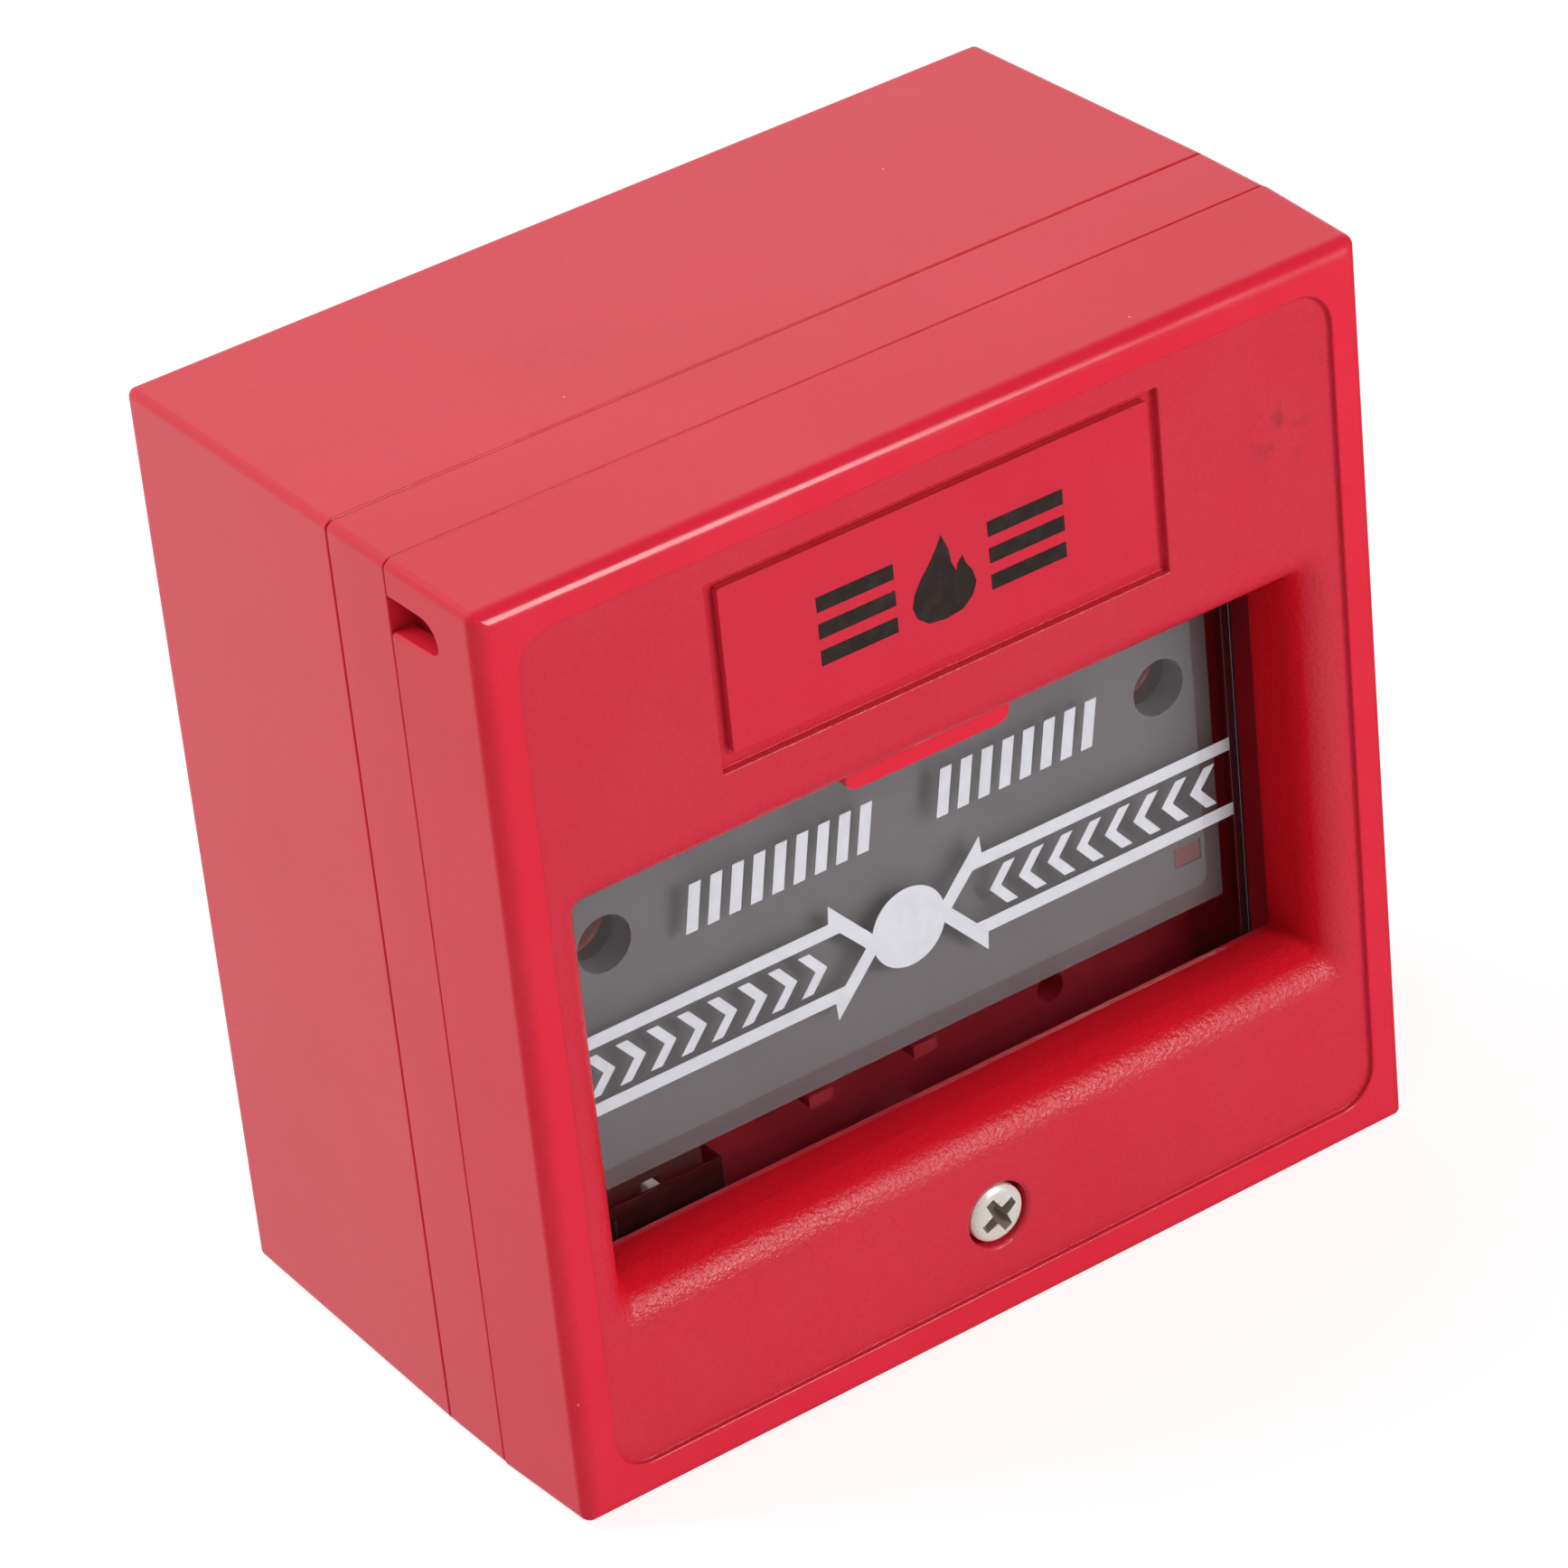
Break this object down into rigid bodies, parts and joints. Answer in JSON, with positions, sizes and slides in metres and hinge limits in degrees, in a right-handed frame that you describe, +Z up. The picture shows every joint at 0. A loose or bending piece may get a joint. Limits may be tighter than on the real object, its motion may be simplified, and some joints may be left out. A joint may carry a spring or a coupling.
{
  "type": "manual call point",
  "caption": "Square red wall box with a pane under a rounded window recess, pressed to raise a fire alarm; the front cover opens for resetting and the back box takes the wiring.",
  "frame": {"origin": "centre of the flat back of the back box, where it meets the wall", "axes": "+Y points into the wall, the front faces -Y, +Z is up, +X is to the right of someone facing the box"},
  "size_m": [0.086, 0.0508, 0.086],
  "materials": {
    "red_casing": "satin moulded ABS, fine texture on the sunk front panel",
    "red_label": "smooth glossy",
    "clear_pane": "clear, printed white on its back face",
    "grey_plate": "matt grey",
    "nickel": "nickel plated",
    "brass": "plain",
    "spring_steel": "bright",
    "black_plastic": "matt moulded",
    "board_green": "solder mask",
    "block_green": "moulded",
    "lamp_red": "clear red resin",
    "washer_white": "moulded nylon",
    "resistor_beige": "dipped coating"
  },
  "bodies": {
    "root": {"alarm_resistor": "resistor_beige", "back_box": "red_casing", "backing_plate": "grey_plate", "base_frame": "red_casing", "board_screw_left": "nickel", "board_screw_right": "nickel", "box_insert_left": "brass", "box_insert_right": "brass", "circuit_board": "board_green", "cover_screw_insert": "brass", "frame_screw_left": "nickel", "frame_screw_right": "nickel", "line_resistor": "resistor_beige", "pane_spring_centre": "spring_steel", "pane_spring_upper_left": "spring_steel", "pane_spring_upper_right": "spring_steel", "status_lamp": "lamp_red", "switch_body": "black_plastic", "switch_pin_left": "spring_steel", "switch_pin_right": "spring_steel", "switch_terminal_closed": "brass", "switch_terminal_common": "brass", "switch_terminal_open": "brass", "terminal_block": "block_green", "terminal_screw_1": "nickel", "terminal_screw_2": "nickel", "terminal_screw_3": "nickel", "terminal_screw_4": "nickel"},
    "cover": {"front_cover": "red_casing", "label_insert": "red_label"},
    "cover_screw": {"cover_screw": "nickel", "retaining_washer": "washer_white"},
    "pane": {"pane": "clear_pane"},
    "switch_lever": {"switch_lever": "spring_steel"},
    "switch_button": {"switch_button": "washer_white"}
  },
  "joints": [
    {"name": "cover_open", "type": "hinge", "parent": "root", "child": "cover", "pos_m": [0, -0.0387, 0.043], "axis": [-1, 0, 0], "range_deg": [0, 60]},
    {"name": "cover_screw_turn", "type": "hinge", "parent": "cover", "child": "cover_screw", "pos_m": [0, -0.05, -0.0326], "axis": [0, 1, 0], "continuous": true},
    {"name": "pane_press", "type": "slide", "parent": "root", "child": "pane", "axis": [0, 1, 0], "range_m": [0, 0.0012], "stiffness_N_per_m": 800, "springref_m": -0.001, "deforming": ["pane_spring_upper_left", "pane_spring_upper_right", "pane_spring_centre"]},
    {"name": "switch_lever_turn", "type": "hinge", "parent": "root", "child": "switch_lever", "pos_m": [-0.0192, -0.0366, -0.0252], "axis": [0, 0, -1], "range_deg": [0, 6.5]},
    {"name": "switch_button_slide", "type": "slide", "parent": "root", "child": "switch_button", "axis": [0, 1, 0], "range_m": [0, 0.00065]}
  ],
  "couplings": [
    {"joint": "switch_lever_turn", "follows": "pane_press", "rad_per_m": 86.2},
    {"joint": "switch_button_slide", "follows": "pane_press", "ratio": 0.5}
  ]
}
